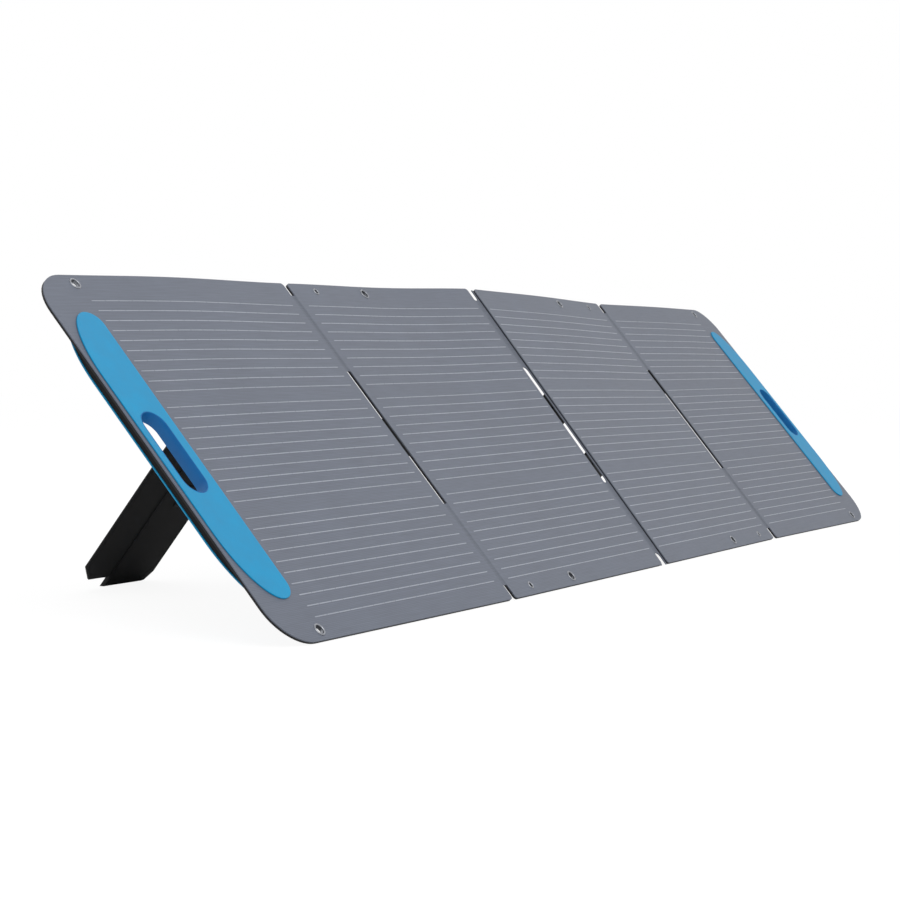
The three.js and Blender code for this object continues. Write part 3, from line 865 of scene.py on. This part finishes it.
@dataclass
class ConnectionBox:
    """The connection box on the last section's back, with a lid, screws and an output socket."""

    x: float = 1785.0
    u: float = 520.0
    width: float = 110.0
    length: float = 52.0
    depth: float = 14.0

    def build(self, shop: Workshop) -> None:
        """Builds the base, the lid, four screws and the socket."""
        body = "section_4"
        base = rounded_outline(self.x, self.u, self.x + self.width, self.u + self.length, 5, 5, 8)
        points, faces = slab(base, [], -4.6, self.depth + 0.2, 12.0)
        shop.piece("connection_box_base_moulded", points, faces, PLASTIC, None, body,
                   ["connection_box_base"], bevel=1.2)
        lid = rounded_outline(self.x + 2, self.u + 2, self.x + self.width - 2, self.u + self.length - 2, 4, 4, 8)
        points, faces = slab(lid, [], -18.9, 3.2, 12.0)
        shop.piece("connection_box_lid_moulded", points, faces, PLASTIC, None, body,
                   ["connection_box_lid"], bevel=1.0)
        for k, (sx, su) in enumerate(((8, 8), (102, 8), (8, 44), (102, 44))):
            disc = arc(self.x + sx, self.u + su, 2.6, 2.6, 0, 345, 24)
            points, faces = slab(disc, [arc(self.x + sx, self.u + su, 1.1, 1.1, 0, 300, 6)], -22.0, 0.6, 9.0)
            shop.piece(f"connection_box_screw_{k + 1}", points, faces, STEEL, None, body, bevel=0.15)
        loop = arc(0, 0, 1.0, 1.0, 0, 360, 41)[:-1]
        profile = np.array([[0.05, 0.0], [6.2, 0.0], [6.8, -0.4], [7.0, -1.2], [7.0, -8.2], [6.7, -8.9], [6.0, -9.1],
                            [4.6, -9.1], [4.1, -8.7], [4.0, -8.0], [4.0, -2.4], [3.6, -2.0], [0.05, -2.0]])
        ring = loop[:, None, :] * profile[None, :, :1]
        grid = np.stack([self.x + self.width / 2 + ring[..., 0],
                         self.u + 0.2 + np.broadcast_to(profile[None, :, 1], ring.shape[:2]),
                         -11.8 + ring[..., 1]], -1)
        obj = shop.piece("output_socket_moulded", grid.reshape(-1, 3), closed_grid(grid), PLASTIC,
                         None, body, ["output_socket"])
        outward_normals(obj)


def outward_normals(obj: bpy.types.Object) -> None:
    """Turns a closed piece's faces outwards."""
    import bmesh
    work = bmesh.new()
    work.from_mesh(obj.data)
    bmesh.ops.recalc_face_normals(work, faces=work.faces)
    work.to_mesh(obj.data)
    work.free()


# ---------------------------------------------------------------- camera, light and floor

@dataclass
class Studio:
    """A pale floor, soft light and the camera."""

    row: RowFrame
    lens: float = 81.4
    camera_mm: tuple[float, float, float] = (-1995.0, -1276.0, 328.0)
    yaw: float = 61.85
    pitch: float = 2.36

    def build(self) -> None:
        """Sets the camera, the world, two soft lamps and the floor."""
        scene = bpy.context.scene
        scene.view_settings.view_transform = "Standard"
        data = bpy.data.cameras.new("camera")
        data.lens, data.sensor_width = self.lens, 36.0
        data.clip_end = 60.0
        camera = bpy.data.objects.new("camera", data)
        camera.location = Vector(self.row.origin + np.array(self.camera_mm) * MM)
        yaw, pitch = np.radians([self.yaw, self.pitch])
        way = Vector((np.sin(yaw) * np.cos(pitch), np.cos(yaw) * np.cos(pitch), -np.sin(pitch)))
        camera.rotation_euler = way.to_track_quat("-Z", "Y").to_euler()
        scene.collection.objects.link(camera)
        scene.camera = camera
        world = bpy.data.worlds.new("studio")
        scene.world = world
        world.use_nodes = True
        tree = world.node_tree
        tree.nodes.clear()
        rays = add_node(tree, "ShaderNodeLightPath")
        seen = add_node(tree, "ShaderNodeMath", {"operation": "MAXIMUM"},
                        {0: rays.outputs["Is Camera Ray"], 1: rays.outputs["Is Glossy Ray"]})
        soft = add_node(tree, "ShaderNodeBackground", {"Color": (1, 1, 1, 1), "Strength": 0.42})
        white = add_node(tree, "ShaderNodeBackground", {"Color": (1, 1, 1, 1), "Strength": 1.0})
        mix = add_node(tree, "ShaderNodeMixShader", {}, {0: seen.outputs[0], 1: soft.outputs[0], 2: white.outputs[0]})
        add_node(tree, "ShaderNodeOutputWorld", links={"Surface": mix.outputs[0]})
        for name, place, size, power in (("key", (-3.0, -4.0, 4.0), 4.0, 135.0), ("fill", (3.5, 2.5, 4.0), 4.0, 42.0)):
            lamp = bpy.data.lights.new(name, "AREA")
            lamp.size, lamp.energy = size, power
            obj = bpy.data.objects.new(name, lamp)
            obj.location = place
            obj.rotation_euler = (Vector((0, 0, 0.2)) - Vector(place)).to_track_quat("-Z", "Y").to_euler()
            scene.collection.objects.link(obj)
        self.floor()

    def floor(self) -> None:
        """A wide flat floor that keeps a soft shadow and otherwise shows white to the camera."""
        mesh = bpy.data.meshes.new("floor")
        side = 14.0
        mesh.from_pydata([(-side, -side, -0.0006), (side, -side, -0.0006), (side, side, -0.0006),
                          (-side, side, -0.0006)], [], [(0, 1, 2, 3)])
        material, tree, shader, output = blank_material("pale_floor")
        shader.inputs["Base Color"].default_value = srgb("F2F2F2")
        shader.inputs["Roughness"].default_value = 0.9
        rays = add_node(tree, "ShaderNodeLightPath")
        seen = add_node(tree, "ShaderNodeMath", {"operation": "MULTIPLY", 1: 0.8}, {0: rays.outputs["Is Camera Ray"]})
        glow = add_node(tree, "ShaderNodeEmission", {"Color": (1, 1, 1, 1), "Strength": 1.14})
        mix = add_node(tree, "ShaderNodeMixShader", {}, {0: seen.outputs[0], 1: shader.outputs[0], 2: glow.outputs[0]})
        tree.links.new(mix.outputs[0], output.inputs["Surface"])
        mesh.materials.append(material)
        floor = bpy.data.objects.new("floor", mesh)
        bpy.context.scene.collection.objects.link(floor)


def main() -> None:
    """Builds every sub-assembly in order."""
    logging.basicConfig(level=logging.INFO)
    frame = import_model()
    row = RowFrame(frame["joints"])
    shop = Workshop(row)
    Studio(row).build()
    parts = [Section(k) for k in range(4)]
    parts += [Grip(-1), Grip(1), HingeWeb(1), HingeWeb(3), CentreWeb()]
    parts += [Leg(k) for k in range(4)]
    parts.append(ConnectionBox())
    for part in parts:
        part.build(shop)
        LOG.info("built %s", part)


if __name__ == "__main__":
    main()
